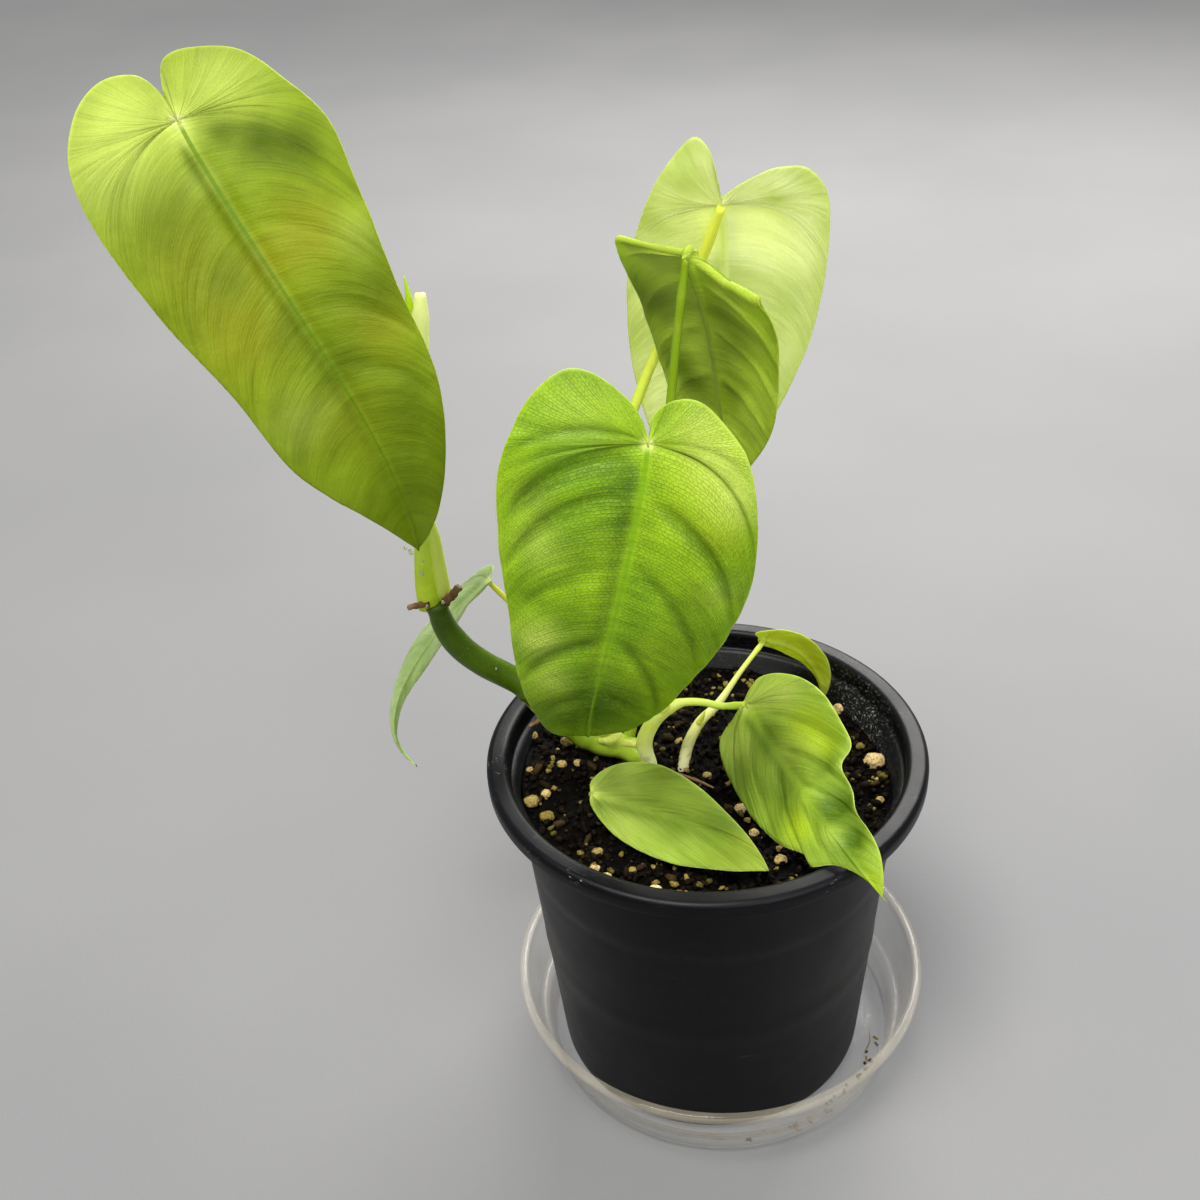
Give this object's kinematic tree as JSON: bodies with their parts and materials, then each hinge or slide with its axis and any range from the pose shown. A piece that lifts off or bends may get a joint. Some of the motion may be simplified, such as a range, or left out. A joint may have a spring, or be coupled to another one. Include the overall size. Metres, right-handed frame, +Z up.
{
  "type": "potted philodendron",
  "caption": "Creeping heart-leaved philodendron in a round black nursery pot that stands in a clear deep saucer.",
  "frame": {"origin": "the pot's axis where it meets the surface that the saucer rests on", "axes": "+Z up along the pot's axis, -Y towards the plant's best side, +X to the right as seen from there; the growing tip leans out over -X"},
  "size_m": [0.2406, 0.1717, 0.3895],
  "materials": {
    "leaf": "living leaf, upper face: mid green, quilted between the side veins, soft sheen",
    "leaf_pale": "living leaf seen from its pale yellow-green under face, lit through, soft sheen",
    "leaf_under": "living leaf seen mostly from its under face, mid green with darker see-through patches",
    "petiole": "smooth yellow-green leaf stalk, satin",
    "stem": "smooth dark green stem, satin",
    "sheath": "pale yellow-green to cream sheath leaf, satin",
    "new_leaf": "bright green rolled young leaf, satin",
    "bark": "dry brown root, fibre and sheath scrap, matte",
    "soil": "moist dark peat mix with bark, fibre and pale mineral grains, rough",
    "pumice": "cream and ochre pumice, rough and pitted",
    "pot_plastic": "black moulded polypropylene, satin, lightly scuffed",
    "saucer_plastic": "thin clear vacuum-formed plastic, glossy, slightly clouded by use"
  },
  "bodies": {
    "root": {"saucer": "saucer_plastic", "pot": "pot_plastic", "main_stem": "stem", "stem_sheath": "sheath", "papery_scrap": "bark", "dry_fibre": "bark", "new_leaf": "new_leaf", "cataphyll": "sheath", "soil": "soil", "petiole_upper_left": "petiole", "petiole_front": "petiole", "petiole_back_folded": "petiole", "petiole_back_pale": "petiole", "petiole_rim": "petiole", "petiole_low_front": "petiole", "petiole_low_back": "petiole", "petiole_hanging": "petiole", "blade_upper_left": "leaf", "blade_front": "leaf", "blade_back_folded": "leaf_under", "blade_back_pale": "leaf_pale", "blade_rim": "leaf", "blade_low_front": "leaf", "blade_low_back": "leaf_under", "blade_hanging": "leaf_under", "root_left": "bark", "root_right": "bark", "root_middle": "bark", "pumice_1": "pumice", "pumice_2": "pumice", "pumice_3": "pumice", "pumice_4": "pumice", "pumice_5": "pumice", "pumice_6": "pumice", "pumice_7": "pumice", "pumice_8": "pumice", "pumice_9": "pumice", "pumice_10": "pumice"}
  },
  "joints": []
}
